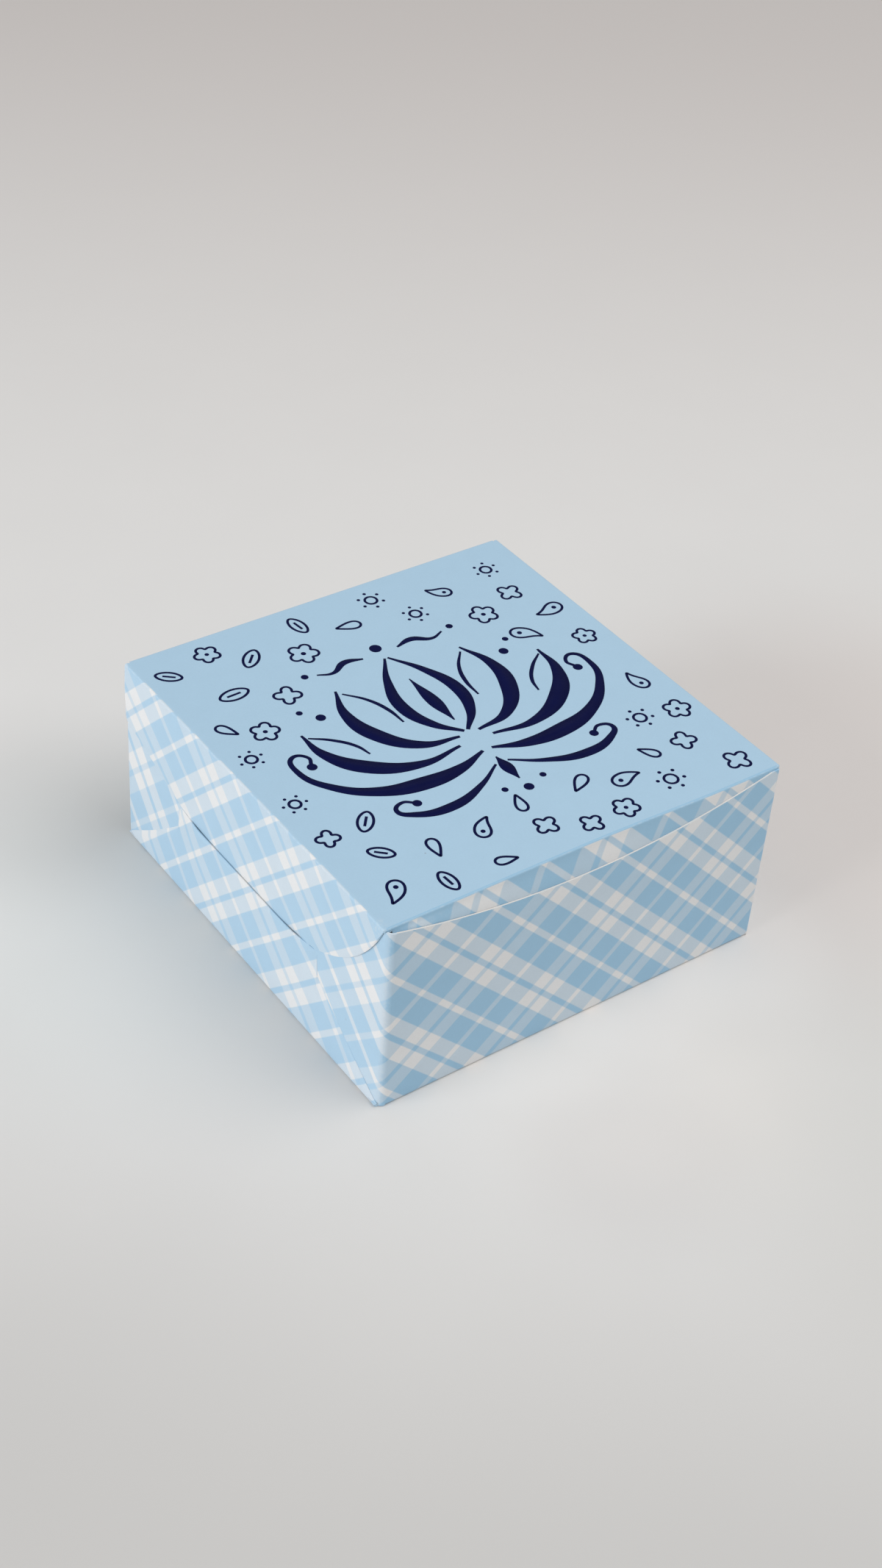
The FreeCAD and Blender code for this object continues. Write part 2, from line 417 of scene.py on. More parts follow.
linerLook = {
    "stretch": (1, 0.25, 1), "fibre": (1500.0, 4.0, 0.65), "cloud": (160.0, 3.0, 0.5),
    "tones": ((0.70, 0.695, 0.675, 1), (0.77, 0.765, 0.75, 1)), "streak": (0.55, 0.8, 0.0, 0.35),
    "streakTone": (0.58, 0.57, 0.54, 1), "roughness": (0.72, 0.9), "specular": 0.3,
    "bump": (0.35, 0.03),
}
edgeLook = {
    "fibre": (5200.0, 3.0, 0.7), "cloud": (5200.0, 3.0, 0.7),
    "tones": ((0.70, 0.68, 0.655, 1), (0.84, 0.825, 0.80, 1)),
    "roughness": (0.78, 0.95), "specular": 0.2, "bump": (0.4, 0.04),
}
inkLook = {
    "fibre": (1800.0, 3.0, 0.6), "cloud": (240.0, 2.0, 0.5),
    "tones": ((0.0020, 0.0035, 0.040, 1), (0.0035, 0.0060, 0.058, 1)),
    "streak": (0.66, 0.82, 0.0, 0.25), "streakTone": (0.012, 0.018, 0.10, 1),
    "roughness": (0.5, 0.64), "specular": 0.05, "bump": (0.2, 0.01),
}
glueLook = {
    "fibre": (420.0, 3.0, 0.6), "cloud": (420.0, 3.0, 0.6),
    "tones": ((0.66, 0.63, 0.54, 1), (0.82, 0.80, 0.72, 1)),
    "roughness": (0.3, 0.55), "specular": 0.5, "bump": (0.5, 0.1),
}


# A finish of two tones, mixed by its clouds, with streaks of a third along its fibre where it has them
def makePlain(name, look):
    finish, tree, shader, place = newFinish(name)
    fibre = useFibre(tree, place, look)
    colour = mixColours(tree, fibre["Cloud"], *look["tones"])
    if "streak" in look:
        streaks = rampStep(tree, fibre["Fibre"], *look["streak"])
        colour = mixColours(tree, streaks, colour, look["streakTone"])
    setShader(tree, shader, colour, fibre, look)
    return finish


printFinish = makePrint()
linerFinish = makePlain("board_liner", linerLook)
edgeFinish = makePlain("cut_edge", edgeLook)
inkFinish = makePlain("navy_ink", inkLook)
glueFinish = makePlain("dried_glue", glueLook)

print("front wall board")

# What the front and back walls share; the runs are lengths along the print from the middle of a wall
wall = {
    "baseEdge": 52.9, "baseFold": 53.2, "rows": 10, "foot": 0.8, "flapEnd": 20.0, "flapLow": 1.0,
    "cornerLow": 0.15, "chamfer": 4.0, "printedFoot": 1.6, "cornerRun": 53.49, "flapRun": 106.19,
}
frontBoard = {
    "columns": 60, "arcEnd": 49.9, "arcMiddle": 43.4, "arcHalf": 50.85, "flapHigh": 49.65,
    "paintedShadeEdge": 52.15, "strongShift": -2.8,
    "weak": (1.24762, -0.0329730, 0.0337450, -0.001335, -0.0001708), "weakPastCorner": 0.0311,
    "shadedRimEdge": 50.2, "shadedRimDepth": 51.1, "roll": 0.12,
}


# Start of the rounding on both walls; the near corner is pressed rounder than the other three
def cornerMiddle(x, y):
    radius = box["nearRound"] if x < 0 and y < 0 else box["cornerRound"]
    return box["halfWidth"] - radius, box["halfDepth"] - radius


# Distance along a wall and round its corners, from the middle of the wall
def runAlong(co):
    out, back = abs(co.x), abs(co.y)
    cornerX, cornerY = cornerMiddle(co.x, co.y)
    if out <= cornerX:
        run = out
    elif back >= cornerY:
        share = math.atan2(out - cornerX, back - cornerY) / (math.pi / 2)
        run = cornerX + (wall["flapRun"] - cornerY - cornerX) * share
    else:
        run = wall["flapRun"] - back
    return math.copysign(run, co.x)


def frontArc(x):
    rise, half = frontBoard["arcEnd"] - frontBoard["arcMiddle"], frontBoard["arcHalf"]
    radius = (half**2 + rise**2) / (2 * rise)
    return frontBoard["arcMiddle"] + radius - math.sqrt(radius**2 - min(half, abs(x)) ** 2)


def frontPhases(co):
    run = runAlong(co)
    inside = max(-wall["cornerRun"], min(wall["cornerRun"], run))
    weak = fan(frontBoard["weak"], inside, co.z) - frontBoard["weakPastCorner"] * (run - inside)
    return ((run + co.z + frontBoard["strongShift"]) / box["stripe"], weak)


# Rolls the two ends of a wall round the upright corners and draws out the corner flaps
def addCornerFlaps(sheet, flapHigh, toFront):
    foot, flapLow, chamfer = wall["foot"], wall["flapLow"], wall["chamfer"]
    middle = (flapHigh + flapLow) / 2
    narrow = 1 - 2 * chamfer / (flapHigh - flapLow)
    for side in (-1, 1):
        cornerX, cornerY = cornerMiddle(side, toFront)
        pickVerts(sheet, lambda co: near(co.x, side * cornerX) and co.z > foot - box["near"])
        rollEdge(-side * 90 * toFront, (side * cornerX, toFront * cornerY, 0), (0, 0, 1))
        mesh = bmesh.from_edit_mesh(sheet.data)
        for v in mesh.verts:
            onCorner = v.co.x * side / mm > cornerX + box["touch"] and near(v.co.z / mm, foot)
            if v.select or onCorner:
                v.co.z = min(flapHigh, wall["cornerLow"] if onCorner else v.co.z / mm) * mm
        pullEdge((0, -toFront * (cornerY - wall["flapEnd"] - chamfer), 0))
        movePicked(sheet, lambda co: (co.x, co.y, max(flapLow, co.z)))
        pullEdge((0, -toFront * chamfer, 0))
        movePicked(sheet, lambda co: (co.x, co.y, middle + (co.z - middle) * narrow))


# A wall from its base fold up to top(x), with its corner flaps
def drawWall(name, places, top, flapHigh, toFront):
    fold, edge, foot = toFront * wall["baseFold"], toFront * wall["baseEdge"], wall["foot"]
    sheet = startFold(name, 1, edge, fold, places, 0, toFront * 90, box["baseRound"])
    pullRows(
        sheet, spread(0, 1, wall["rows"])[1:],
        lambda co, share: (co.x, toFront * box["halfDepth"], foot + (top(co.x) - foot) * share),
    )
    addCornerFlaps(sheet, flapHigh, toFront)
    return sheet


def finishWall(sheet, place):
    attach(sheet, "carton")
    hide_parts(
        f"{place}_wall", f"base_{place}_crease", f"{place}_left_corner_crease",
        f"{place}_right_corner_crease", f"{place}_left_corner_flap", f"{place}_right_corner_flap",
    )


def makeFrontBoard():
    left, right = -cornerMiddle(-1, -1)[0], cornerMiddle(1, -1)[0]
    places = spread(left, right, frontBoard["columns"])
    sheet = drawWall("front_wall_board", places, frontArc, frontBoard["flapHigh"], -1)
    # The front face takes the deeper blue of painted shade; the corner flaps on the lit sides keep the pale
    # blue
    layPrint(sheet, frontPhases, paintedShadeShare=lambda co: 1.0 if abs(co.x) < frontBoard["paintedShadeEdge"] else 0.0)

    def roll(co, first, printed):
        rim = printed and left <= first.x <= right and near(first.z, frontArc(first.x))
        return (co.x, co.y + (frontBoard["roll"] if rim else 0), co.z)

    # The foot's rim takes the print; near the top corners the cut edge takes the print's blue instead of the
    # white edge colour, painted shade where that edge lies in shade
    def printedRim(co):
        atEnd = abs(co.x) > frontBoard["shadedRimEdge"] and co.y < -frontBoard["shadedRimDepth"]
        return co.z < wall["printedFoot"] or atEnd

    addBoard(sheet, printedRim, roll)
    finishWall(sheet, "front")


makeFrontBoard()

print("back wall board")

backBoard = {
    "columns": 24, "wallTop": 49.6, "strong": (0.7082, 0.02975, -0.02409, 0.0, 0.0),
    "weak": (0.4251, 0.02973, 0.03073, 0.0, 0.0),
}


def backPhases(co):
    run = runAlong(co) + wall["cornerRun"]
    return (fan(backBoard["strong"], run, co.z), fan(backBoard["weak"], run, co.z))


def makeBackBoard():
    half, top = cornerMiddle(1, 1)[0], backBoard["wallTop"]
    sheet = drawWall("back_wall_board", spread(-half, half, backBoard["columns"]), lambda x: top, top, 1)
    layPrint(sheet, backPhases)
    addBoard(sheet, lambda co: co.z < wall["printedFoot"])
    finishWall(sheet, "back")


makeBackBoard()

print("side boards")

sideBoard = {
    "baseEdge": 52.25, "baseFold": 52.55, "halfLength": 53.2, "foldAngle": 87.6, "foot": 53.35,
    "rows": [0.12, 0.26, 0.4, 0.55, 0.7, 0.8, 0.88, 0.94, 0.975, 1.0],
    "lipOut": 53.99, "roll": 0.26, "slantOut": 52.77, "slantProud": 0.12, "proudTo": 8.0, "slantIn": 52.6,
    "slantRound": 1.5, "lip": 24.9, "lipRise": 0.45, "riseEnd": 14.0, "riseRun": 13.0,
    "lipFront": -28.4, "lipBack": 29.6, "neckRun": 0.6, "neckFoot": 18.6, "slantFoot": 0.9,
    "sag": 0.16, "flatHalf": 19.0, "neckOut": 53.05, "slantShare": 0.8,
    "endSteps": [0.0, 0.2, 0.5, 0.8],
    "lipMargin": 1.2, "lipColumns": 30, "slantColumns": 10, "rimMargin": 1.0,
    "leftStrong": (-21.6, 1.0, 1.0),
    "leftWeak": (0.17993, -0.0298926, 0.0278, -0.0009904, -0.0002302),
    "rightStrong": (-3.4, -1.0, 1.0), "rightWeak": (-1.573, -0.03281, -0.02912, 0.0, 0.0),
}


# Half length of the lip towards y
def lipEnd(y):
    return sideBoard["lipBack"] if y > 0 else -sideBoard["lipFront"]


def onLip(y):
    return abs(y) <= lipEnd(y) + box["touch"]


def sideTop(y):
    if onLip(y):
        share = smooth((sideBoard["lipFront"] + sideBoard["riseEnd"] - y) / sideBoard["riseRun"])
        return sideBoard["lip"] + sideBoard["lipRise"] * share
    neck = lipEnd(y) + sideBoard["neckRun"]
    share = (sideBoard["halfLength"] - abs(y)) / (sideBoard["halfLength"] - neck)
    share -= sideBoard["sag"] * share * (1 - share)
    return sideBoard["slantFoot"] + (sideBoard["neckFoot"] - sideBoard["slantFoot"]) * share


# Distance to the nearest slanted edge or neck
def edgeGap(y, z):
    if onLip(y):
        return math.hypot(lipEnd(y) - abs(y), max(0, sideBoard["neckFoot"] - z))
    return sideBoard["slantShare"] * (sideTop(y) - z)


# The panel bulges over the tongue in the middle and lies flat on the corner flaps at its ends
def sideOut(y, z):
    low = box["baseRound"]
    lean = (sideBoard["lipOut"] - sideBoard["foot"]) / (sideBoard["lip"] - low)
    middle = sideBoard["foot"] + lean * (z - low)
    rise = min(1, max(0, (z - low) / (sideBoard["neckFoot"] - low)))
    end = sideBoard["foot"] + (sideBoard["neckOut"] - sideBoard["foot"]) * rise
    share = smooth((abs(y) - sideBoard["flatHalf"]) / (lipEnd(y) - sideBoard["flatHalf"]))
    edge = sideBoard["slantOut"] + sideBoard["slantProud"] * max(0, 1 - z / sideBoard["proudTo"])
    inside = smooth(edgeGap(y, z) / sideBoard["slantRound"])
    return edge + (middle + (end - middle) * share - edge) * inside


def makeSideBoard(name, side):
    fold, edge, half = sideBoard["baseFold"], sideBoard["baseEdge"], sideBoard["halfLength"]
    front, back, run = sideBoard["lipFront"], sideBoard["lipBack"], sideBoard["neckRun"]
    margin, steps, count = sideBoard["lipMargin"], sideBoard["endSteps"], sideBoard["slantColumns"]
    places = spread(-half, front - run, count) + [front + step for step in steps]
    places += spread(front + margin, back - margin, sideBoard["lipColumns"])
    places += [back - step for step in reversed(steps)] + spread(back + run, half, count)
    angle = sideBoard["foldAngle"]
    sheet = startFold(
        f"{name}_side_board", 0, side * edge, side * fold, places, 0, -side * angle, box["baseRound"]
    )
    start = box["baseRound"] * (1 - math.cos(math.radians(angle)))

    def place(co, share):
        z = start + (sideTop(co.y) - start) * share
        return (side * sideOut(co.y, z), co.y, z)

    # The slanted edges and necks lie close on the corner flaps; the lip turns in over the tongue
    def roll(co, first, printed):
        if not near(first.z, sideTop(first.y)):
            return co
        out = abs(co.x)
        if printed and onLip(first.y):
            out -= sideBoard["roll"]
        if not printed and not front + sideBoard["rimMargin"] < first.y < back - sideBoard["rimMargin"]:
            out = sideBoard["slantIn"]
        return (side * out, co.y, co.z)

    pullRows(sheet, sideBoard["rows"], place)
    strong, weak = sideBoard[f"{name}Strong"], sideBoard[f"{name}Weak"]
    layPrint(sheet, lambda co: plaidAt(strong, weak, co.y, co.z))
    addBoard(sheet, lambda co: True, roll)
    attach(sheet, "carton")
    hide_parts(f"{name}_side_panel", f"base_{name}_crease")


makeSideBoard("left", -1)
makeSideBoard("right", 1)

print("base board")

baseBoard = {
    "halfWidth": 52.25, "halfDepth": 52.9, "cells": 12, "strong": (75.0, 1.0, -1.0),
    "weak": (0.0, -0.0291, -0.0328, 0.0, 0.0),
}


def basePhases(co):
    return plaidAt(baseBoard["strong"], baseBoard["weak"], co.x, co.y)


def makeBaseBoard():
    half, cells = (baseBoard["halfWidth"], baseBoard["halfDepth"]), baseBoard["cells"]
    sheet = startSheet("base_board", (-half[0], -half[1]), half, 0, cells, cells, True)
    layPrint(sheet, basePhases)
    addBoard(sheet)
    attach(sheet, "carton")
    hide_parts("base_panel")


makeBaseBoard()

print("lid board")

lidBoard = {
    "halfWidth": 52.3, "front": -52.87, "back": 53.1, "columns": 40, "rows": 16, "paintedShadeShare": 0.08,
    "setBack": 1.0, "setBackFrom": -2.0, "setBackRun": 42.0,
}


# The lid's front fold stands back behind the front wall, most of all on the left
def setBack(x):
    return lidBoard["setBack"] * (1 - smooth((x - lidBoard["setBackFrom"]) / lidBoard["setBackRun"]))


def makeLidBoard():
    half = lidBoard["halfWidth"]
    sheet = startSheet(
        "lid_board", (-half, lidBoard["front"]), (half, lidBoard["back"]), box["lidTop"],
        lidBoard["columns"], lidBoard["rows"],
    )
    for v in sheet.data.vertices:
        if near(v.co.y / mm, lidBoard["front"]):
            v.co.y += setBack(v.co.x / mm) * mm
    # A little painted shade deepens the lid's blue
    layPrint(sheet, basePhases, lambda co: 1, lambda co: lidBoard["paintedShadeShare"])
    addBoard(sheet)
    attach(sheet, "lid")
    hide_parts("lid_panel")


makeLidBoard()

print("lid folds")

foldCentre = box["lidTop"] - box["foldRound"]
flapCentre = box["lidTop"] - box["flapRound"]

hingeFold = {"halfLength": 51.95, "blueEdge": 49.9, "columns": 24}


def makeHingeFold():
    places = spread(-hingeFold["halfLength"], hingeFold["halfLength"], hingeFold["columns"])
    start = box["halfDepth"] - box["foldRound"]
    sheet = startFold("lid_hinge_fold", 1, lidBoard["back"], start, places, box["lidTop"], -90, foldCentre)
    pullEdge((0, 0, backBoard["wallTop"] - foldCentre))
    layPrint(sheet, backPhases, lambda co: co.z - hingeFold["blueEdge"])
    addBoard(sheet)
    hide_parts("lid_hinge_crease")
    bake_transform(sheet)


makeHingeFold()

tuckBoard = {
    "halfLength": 51.25, "columns": 20, "outer": -53.48, "bottom": 34.5, "turnIn": 1.5,
    "turnFrom": 42.5, "turnPower": 1.6,
    "rows": [0.03, 0.06, 0.1, 0.14, 0.18, 0.23, 0.29, 0.36, 0.44, 0.52, 0.6, 0.7, 0.8, 0.9, 1.0],
    "tuckUnder": 0.4, "meetHigh": 47.9, "foldLow": 49.66, "cornerRound": 9.0, "cornerSteps": 10,
    "stepOut": 0.02, "paintedShadeShare": 1.0, "blueEdge": 50.2, "strong": (-54.53, 1.0, 1.0),
    "weak": (1.3994, -0.03005, 0.01432, 0.0, 0.0),
}


def tuckBottom(x):
    if abs(x) > tuckBoard["halfLength"] + box["touch"]:
        return tuckBoard["foldLow"]
    past = abs(x) - (tuckBoard["halfLength"] - tuckBoard["cornerRound"])
    radius = tuckBoard["cornerRound"]
    return tuckBoard["bottom"] + (radius - math.sqrt(max(0, radius**2 - past**2)) if past > 0 else 0)


def makeTuckBoard():
    half, radius = tuckBoard["halfLength"], tuckBoard["cornerRound"]
    start = tuckBoard["outer"] + box["flapRound"]
    flat = half - radius
    turns = [flat + radius * math.sin(math.radians(a)) for a in spread(0, 90, tuckBoard["cornerSteps"])]
    turns += [half + tuckBoard["stepOut"], lidBoard["halfWidth"]]
    places = [-t for t in reversed(turns)] + spread(-flat, flat, tuckBoard["columns"])[1:-1] + turns
    sheet = startFold("tuck_flap_board", 1, lidBoard["front"], start, places, box["lidTop"], 90, flapCentre)
    movePicked(sheet, lambda co: (co.x, co.y + setBack(co.x), co.z), every=True)
    low = tuckBoard["turnFrom"]

    # The strip slopes out from the fold until it lies against the wall below its arc
    def place(co, share):
        z = flapCentre + (tuckBottom(co.x) - flapCentre) * share
        meet = min(frontArc(co.x) - tuckBoard["tuckUnder"], tuckBoard["meetHigh"])
        back = setBack(co.x) * smooth((z - meet) / (flapCentre - meet))
        past = max(0, (low - z) / (low - tuckBoard["bottom"]))
        return (co.x, tuckBoard["outer"] + back + tuckBoard["turnIn"] * past ** tuckBoard["turnPower"], z)

    pullRows(sheet, tuckBoard["rows"], place)
    strong, weak, blue = tuckBoard["strong"], tuckBoard["weak"], tuckBoard["blueEdge"]
    # The tuck flap takes the deeper blue of painted shade
    layPrint(
        sheet, lambda co: plaidAt(strong, weak, co.x, co.z), lambda co: co.z - blue,
        lambda co: tuckBoard["paintedShadeShare"],
    )
    addBoard(sheet, lambda co: co.z > tuckBoard["foldLow"] - box["board"])
    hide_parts("tuck_flap", "lid_front_crease")
    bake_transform(sheet)


makeTuckBoard()

lockBoard = {
    "front": -52.2, "foldOut": 53.25, "outer": 53.45, "swellRun": 9.0, "leanFrom": 6.0, "lean": 0.021,
    "bulge": 0.0164, "bulgeFrom": 12.0, "bulgeTo": 24.0, "cap": 0.5, "capAngles": (90, 70, 50, 25),
    "rows": 10, "arcColumns": 22, "arcPower": 1.6, "columnWidth": 2.8,
    "outline": [(-28.6, 26.2), (-28.0, 25.75), (-26.0, 25.7), (-24.6, 24.6), (-20.0, 24.3), (-17.0, 21.5),
                (18.0, 22.5), (20.0, 24.3), (24.5, 24.5), (25.6, 25.05), (28.3, 25.2), (53.3, 34.2)],
    "arcMiddle": (-11.563, 66.924), "arcRadius": 44.052, "least": 0.06, "heldRim": (-28.0, 25.6),
    "shadedFreeEdgeTo": -20.0, "rimRoll": 0.2, "rimGap": 0.12, "rightBlueEdge": 50.0, "blueOver": 0.1,
    "blueFlare": 0.6, "flareFrom": -46.5, "flareRun": 6.0, "leftStrong": (-22.8, 1.0, 1.0),
    "leftWeak": (1.05362, -0.0260116, 0.0310716, 0.0014616, -0.0004198),
    "rightStrong": (21.0, 1.0, -1.0), "rightWeak": (7.486, -0.0271, -0.03053, 0.0, 0.0),
}


def lockLow(y):
    outline = lockBoard["outline"]
    low = flapCentre
    if lockBoard["front"] <= y < outline[0][0]:
        along, up = lockBoard["arcMiddle"]
        low = up - math.sqrt(max(0, lockBoard["arcRadius"] ** 2 - (y - along) ** 2))
    for (y0, z0), (y1, z1) in zip(outline, outline[1:]):
        if y0 <= y <= y1 + box["touch"]:
            low = z0 + (z1 - z0) * (y - y0) / (y1 - y0)
    return min(low, flapCentre - lockBoard["least"])


def makeLockBoard(name, side):
    start = lockBoard["foldOut"] - box["flapRound"]
    edge, cap = lidBoard["halfWidth"], lockBoard["cap"]
    capStart = lidBoard["front"] + setBack(side * edge)
    front = max(lockBoard["front"], capStart)
    knots = [y for y, z in lockBoard["outline"]]
    places = [capStart - cap * math.sin(math.radians(a)) for a in lockBoard["capAngles"]]
    places += [capStart] if capStart < front else []
    shares = [share ** lockBoard["arcPower"] for share in spread(0, 1, lockBoard["arcColumns"])[:-1]]
    places += [front + (knots[0] - front) * share for share in shares]
    for first, last in zip(knots, knots[1:]):
        places += spread(first, last, max(1, round((last - first) / lockBoard["columnWidth"])))[:-1]
    places.append(knots[-1])
    sheet = startFold(
        f"{name}_lock_flap_board", 0, side * edge, side * start, places, box["lidTop"], side * 90, flapCentre
    )

    def place(co, share):
        z = flapCentre + (lockLow(co.y) - flapCentre) * share
        inner, outer = lockBoard["bulgeFrom"], lockBoard["bulgeTo"]
        bulge = 1 - smooth((abs(co.y) - inner) / (outer - inner))
        lean = lockBoard["lean"] - lockBoard["bulge"] * bulge
        lean *= max(0, flapCentre - z - lockBoard["leanFrom"])
        swell = math.sin(math.pi / 2 * min(1, (flapCentre - z) / lockBoard["swellRun"]))
        out = lockBoard["foldOut"] + (lockBoard["outer"] - lockBoard["foldOut"]) * swell
        return (side * (out - lean), co.y, z)

    # Rounds off the front end of the fold, where it meets the tuck flap's fold at the corner
    def roundEnd(co):
        past = min(cap, max(0, capStart - co.y))
        drop = cap - math.sqrt(cap**2 - past**2)
        narrow = 1 - drop / (lockBoard["foldOut"] - edge)
        return (side * (edge + (abs(co.x) - edge) * narrow), co.y, co.z - drop)

    # The free edge is thin and stands off the corner flap
    def roll(co, first, printed):
        heldFrom, heldTo = lockBoard["heldRim"]
        if not near(first.z, lockLow(first.y)) or heldFrom < first.y < heldTo:
            return co
        shift = -lockBoard["rimRoll"] if printed else lockBoard["rimGap"]
        return (co.x + side * shift, co.y, co.z)

    pullRows(sheet, spread(0, 1, lockBoard["rows"])[1:], place)
    bpy.ops.object.mode_set(mode="OBJECT")
    for v in sheet.data.vertices:
        v.co = Vector(roundEnd(v.co / mm)) * mm
    strong, weak = lockBoard[f"{name}Strong"], lockBoard[f"{name}Weak"]

    # Height on the unrolled board, which the print follows over the fold
    def unrolled(co):
        if co.z <= flapCentre:
            return co.z
        across = start - abs(co.x)
        turn = math.atan2(co.z - flapCentre, max(0, -across))
        return flapCentre + box["flapRound"] * turn + max(0, across)

    # On the left the plaid runs over the fold, except near the front corner
    def blue(co):
        if side > 0:
            return co.z - lockBoard["rightBlueEdge"]
        flare = lockBoard["blueFlare"] * smooth((lockBoard["flareFrom"] - co.y) / lockBoard["flareRun"])
        foldTop = flapCentre + box["flapRound"] * math.pi / 2
        return unrolled(co) - foldTop - lockBoard["blueOver"] + flare

    layPrint(sheet, lambda co: plaidAt(strong, weak, co.y, unrolled(co)), blue)
    # The rim over the fold takes the print; along the front of the free edge the cut edge takes the print's
    # colour instead of the white edge colour, painted shade where that edge lies in shade
    addBoard(sheet, lambda co: co.z > foldCentre - box["board"] or co.y < lockBoard["shadedFreeEdgeTo"], roll)
    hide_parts(f"{name}_lock_flap", f"lid_{name}_crease")
    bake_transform(sheet)


makeLockBoard("left", -1)
makeLockBoard("right", 1)

print("lid print")

# Strokes of the right half of the lotus, as x, y and width in millimetres; the left half mirrors them
lotus = {
    "strokes": [
        [(0.5, -7, 0.9), (5.2, -1.5, 2.4), (7.6, 7, 3.4), (5.0, 17, 2.0), (0.4, 25, 0.6)],
        [(2.6, -8.2, 0.8), (11.5, -6.4, 2.6), (18.8, 2.5, 4.2), (20.2, 11.5, 2.6), (17.4, 20, 0.6)],
        [(16.6, 18.4, 0.5), (12.8, 13.6, 0.9), (10.8, 8, 1.0), (10.4, 2.6, 0.5)],
        [(4.5, -11, 0.8), (15.5, -12, 2.4), (26.8, -6.5, 4.4), (32.4, 2, 2.6), (33, 10, 0.6)],
        [(32.2, 8.4, 0.5), (28, 5.2, 0.9), (24.4, 0.6, 0.9), (23.4, -3.2, 0.5)],
        [(1.2, -15, 0.8), (9, -17.6, 2.8), (19, -17.8, 4.4), (29, -15.2, 3.2), (37, -8.8, 2.2),
         (40.6, -1, 1.5), (38.8, 4.4, 1.1), (35.9, 2.6, 0.9), (36.6, 0.2, 0.9)],
        [(1.6, -20.4, 0.6), (8.5, -24.6, 1.4), (18, -27.4, 2.6), (26.8, -25.6, 1.8), (29.6, -22.6, 1.2),
         (27, -20.8, 0.9), (24.6, -22.2, 0.8)],
        [(4.8, 27.4, 0.6), (9.4, 28.4, 1.7), (14, 26.2, 1.0), (17.6, 27.4, 0.5)],
    ],
    "middle": [
        [(0, -2.5, 0.4), (0, 5.5, 3.4), (0, 15.5, 0.3)],
        [(0, -18.2, 0.4), (0, -22.4, 3.0), (0, -27, 0.4)],
    ],
    "dots": [(36.9, -0.6, 1.2), (24.3, -22.6, 1.1), (25.6, 13.4, 1.2), (28.9, 17.2, 0.8), (20.4, 28.2, 0.9),
             (5.2, -28.6, 0.8)],
    "middleDots": [(0, 29.4, 1.5), (0, -30.4, 1.2)],
    "samples": 6,
}

# Small outlined figures spread evenly round the lotus; the bases are primes for evenly spread numbers
scatter = {
    "edge": 50.4, "line": 0.64, "clear": 1.2, "apart": 2.0, "tries": 260, "most": 52,
    "smallest": 0.9, "sizeSpread": 0.24, "step": 0.22, "leastStep": 1e-9, "passes": 6,
    "placeBases": (2, 3), "sizeBase": 5, "turnBase": 7,
}

# The dots lie a little lower than the lines, so no two inked faces share a plane
film = {
    "thickness": 0.035, "dotDrop": 0.006, "dotCorners": 24, "weld": 0.002, "halfLine": 0.5, "curveSteps": 10,
}


def ringPoints(count, place):
    return [place(2 * math.pi * k / count) for k in range(count)]


# The figures, in units of their own size: rosettes have petals, drops are wide at the bottom
flower = {"size": 3.3, "points": 90, "petals": 5, "inner": 0.58, "outer": 1.0, "power": 0.7}
clover = {"size": 3.0, "points": 90, "petals": 4, "inner": 0.42, "outer": 1.0, "power": 0.8}
ring = {"size": 3.2, "points": 40, "petals": 6, "inner": 0.46, "outer": 0.46, "power": 1}
leaf = {"size": 3.4, "points": 60, "wide": 0.5, "power": 1.3, "taper": 0, "hook": 0}
mango = {"size": 3.5, "points": 60, "wide": 0.7, "power": 1, "taper": 1.2, "hook": 0.42}
drop = {"size": 3.0, "points": 60, "wide": 0.64, "power": 1, "taper": 1.5, "hook": 0}
figures = [flower, leaf, ring, mango, clover, drop]
dotReach, dotSize = 0.9, 0.13
leaf["vein"] = [(0, -0.5), (0, 0.45)]
flower["dots"] = [(0, 0, 0.17)]
mango["dots"] = [(0, -0.42, 0.16)]
ring["dots"] = ringPoints(ring["petals"], lambda t: (dotReach * math.sin(t), dotReach * math.cos(t), dotSize))


def rosettePlace(figure, t):
    petal = abs(math.cos(figure["petals"] / 2 * t)) ** figure["power"]
    reach = figure["inner"] + (figure["outer"] - figure["inner"]) * petal
    return (reach * math.sin(t), reach * math.cos(t))


def dropPlace(figure, t):
    across, tall = math.sin(t), math.cos(t)
    wide = figure["wide"] * math.copysign(abs(across) ** figure["power"], across)
    return (wide * math.sin(t / 2) ** figure["taper"] + figure["hook"] * max(0, tall) ** 2, tall)


# Spaces the points of a line evenly and rounds its tips, so that the inked line never folds over itself
def evenLine(points, closed):
    path = [Vector(p) for p in points] + ([Vector(points[0])] if closed else [])
    lengths = [0.0]
    for first, last in zip(path, path[1:]):
        lengths.append(lengths[-1] + (last - first).length)
    count = max(3, round(lengths[-1] / scatter["step"]))
    even, k = [], 0
    for n in range(count if closed else count + 1):
        along = lengths[-1] * n / count
        while k < len(lengths) - 2 and lengths[k + 1] < along:
            k += 1
        share = (along - lengths[k]) / max(scatter["leastStep"], lengths[k + 1] - lengths[k])
        even.append(path[k].lerp(path[k + 1], share))
    for turn in range(scatter["passes"] if closed else 0):
        even = [(even[n - 1] + 2 * p + even[(n + 1) % len(even)]) / 4 for n, p in enumerate(even)]
    return even


# A smooth stroke (BEZIER) or a thin line (POLY) through points given as x, y and width
def addStroke(strokes, kind, points, closed=False):
    spline = strokes.data.splines.new(kind)
    spline.use_cyclic_u = closed
    smoothed = kind == "BEZIER"
    knots = spline.bezier_points if smoothed else spline.points
    knots.add(len(points) - 1)
    for knot, (x, y, width) in zip(knots, points):
        knot.co = (x * mm, y * mm, 0) if smoothed else (x * mm, y * mm, 0, 1)
        knot.radius = width
        knot.tilt = math.pi / 2
        if smoothed:
            knot.handle_left_type = knot.handle_right_type = "AUTO"
    if smoothed:
        spline.radius_interpolation = "CARDINAL"


